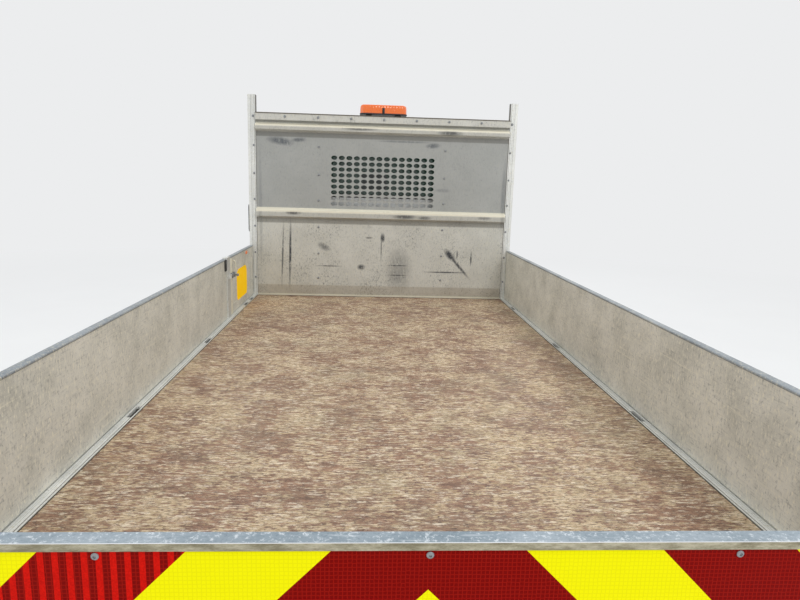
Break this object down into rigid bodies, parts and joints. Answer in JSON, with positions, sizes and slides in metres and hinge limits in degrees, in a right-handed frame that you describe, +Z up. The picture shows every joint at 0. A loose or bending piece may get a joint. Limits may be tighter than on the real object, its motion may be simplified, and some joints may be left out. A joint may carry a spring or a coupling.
{
  "type": "dropside truck",
  "caption": "Light dropside truck with a single-row cab, an open plywood load bed with hinged alloy sides and tailboard, a perforated headboard and an amber roof beacon.",
  "frame": {"origin": "on the ground under the middle of the truck's overall box", "axes": "+Y towards the truck's front, +X to its right, +Z up"},
  "size_m": [2.54, 6.24, 2.485],
  "materials": {
    "grey_alloy": "satin",
    "headboard_paint": "satin",
    "post_paint": "satin",
    "tailboard_alloy": "satin",
    "chevron_sheet": "gloss",
    "deck_ply": "worn",
    "bearer_steel": "satin",
    "chassis_paint": "satin",
    "cab_paint": "gloss",
    "window_glass": "gloss",
    "black_plastic": "matte",
    "lamp_lens": "gloss",
    "red_lens": "gloss",
    "amber_lens": "gloss",
    "dash_plastic": "matte",
    "seat_cloth": "matte",
    "tyre_rubber": "matte",
    "wheel_paint": "satin",
    "engine_iron": "rough",
    "exhaust_steel": "satin"
  },
  "bodies": {
    "truck": {"beacon": "amber_lens", "bed_bearers": "bearer_steel", "bed_runners": "bearer_steel", "body_posts": "post_paint", "cab_glass": "window_glass", "cab_shell": "cab_paint", "chassis_rails": "chassis_paint", "cross_members": "chassis_paint", "dashboard": "dash_plastic", "engine_block": "engine_iron", "exhaust": "exhaust_steel", "floor_deck": "deck_ply", "front_axle": "chassis_paint", "front_bumper": "black_plastic", "front_wings": "cab_paint", "fuel_tank": "black_plastic", "grille": "black_plastic", "headboard": "headboard_paint", "headlamps": "lamp_lens", "mudguards": "black_plastic", "propshaft": "engine_iron", "rear_axle": "chassis_paint", "seat_bases": "dash_plastic", "seats": "seat_cloth", "side_rails": "grey_alloy", "tail_lamps": "red_lens", "underrun_bar": "chassis_paint"},
    "bonnet": {"bonnet": "cab_paint"},
    "door_right": {"door_right": "cab_paint", "door_glass_right": "window_glass", "mirror_right": "black_plastic"},
    "door_left": {"door_left": "cab_paint", "door_glass_left": "window_glass", "mirror_left": "black_plastic"},
    "dropside_right": {"dropside_right": "grey_alloy"},
    "dropside_left": {"dropside_left": "grey_alloy"},
    "access_gate": {"access_gate": "grey_alloy"},
    "tailboard": {"tailboard": "tailboard_alloy", "chevron_board": "chevron_sheet"},
    "knuckle_right": {"knuckle_right": "chassis_paint"},
    "knuckle_left": {"knuckle_left": "chassis_paint"},
    "wheel_front_left": {"rim_front_left": "wheel_paint", "tyre_front_left": "tyre_rubber"},
    "wheel_front_right": {"rim_front_right": "wheel_paint", "tyre_front_right": "tyre_rubber"},
    "wheel_rear_left": {"rim_rear_left": "wheel_paint", "tyre_rear_left": "tyre_rubber"},
    "wheel_rear_right": {"rim_rear_right": "wheel_paint", "tyre_rear_right": "tyre_rubber"}
  },
  "joints": [
    {"name": "dropside_right_hinge", "type": "hinge", "parent": "truck", "child": "dropside_right", "pos_m": [1.06, -1, 0.935], "axis": [0, 1, 0], "range_deg": [0, 180]},
    {"name": "dropside_left_hinge", "type": "hinge", "parent": "truck", "child": "dropside_left", "pos_m": [-1.06, -1, 0.935], "axis": [0, -1, 0], "range_deg": [0, 180]},
    {"name": "tailboard_hinge", "type": "hinge", "parent": "truck", "child": "tailboard", "pos_m": [0, -3.111, 0.935], "axis": [1, 0, 0], "range_deg": [0, 180]},
    {"name": "access_gate_hinge", "type": "hinge", "parent": "truck", "child": "access_gate", "pos_m": [-1.06, 0.999, 1.13], "axis": [0, 0, -1], "range_deg": [0, 90]},
    {"name": "door_right_hinge", "type": "hinge", "parent": "truck", "child": "door_right", "pos_m": [0.996, 2.165, 1], "axis": [0, 0, 1], "range_deg": [0, 65]},
    {"name": "door_left_hinge", "type": "hinge", "parent": "truck", "child": "door_left", "pos_m": [-0.996, 2.165, 1], "axis": [0, 0, -1], "range_deg": [0, 65]},
    {"name": "bonnet_hinge", "type": "hinge", "parent": "truck", "child": "bonnet", "pos_m": [0, 2.56, 1.294], "axis": [1, 0, 0], "range_deg": [0, 55]},
    {"name": "steer_right", "type": "hinge", "parent": "truck", "child": "knuckle_right", "pos_m": [0.83, 2.23, 0.36], "axis": [0, 0, 1], "range_deg": [-30, 30]},
    {"name": "steer_left", "type": "hinge", "parent": "truck", "child": "knuckle_left", "pos_m": [-0.83, 2.23, 0.36], "axis": [0, 0, 1], "range_deg": [-30, 30]},
    {"name": "wheel_front_right_spin", "type": "hinge", "parent": "knuckle_right", "child": "wheel_front_right", "pos_m": [0.905, 2.23, 0.36], "axis": [1, 0, 0], "continuous": true},
    {"name": "wheel_front_left_spin", "type": "hinge", "parent": "knuckle_left", "child": "wheel_front_left", "pos_m": [-0.905, 2.23, 0.36], "axis": [1, 0, 0], "continuous": true},
    {"name": "wheel_rear_right_spin", "type": "hinge", "parent": "truck", "child": "wheel_rear_right", "pos_m": [0.905, -1.805, 0.36], "axis": [1, 0, 0], "continuous": true},
    {"name": "wheel_rear_left_spin", "type": "hinge", "parent": "truck", "child": "wheel_rear_left", "pos_m": [-0.905, -1.805, 0.36], "axis": [1, 0, 0], "continuous": true}
  ],
  "couplings": [
    {"joint": "steer_left", "follows": "steer_right", "ratio": 1}
  ]
}
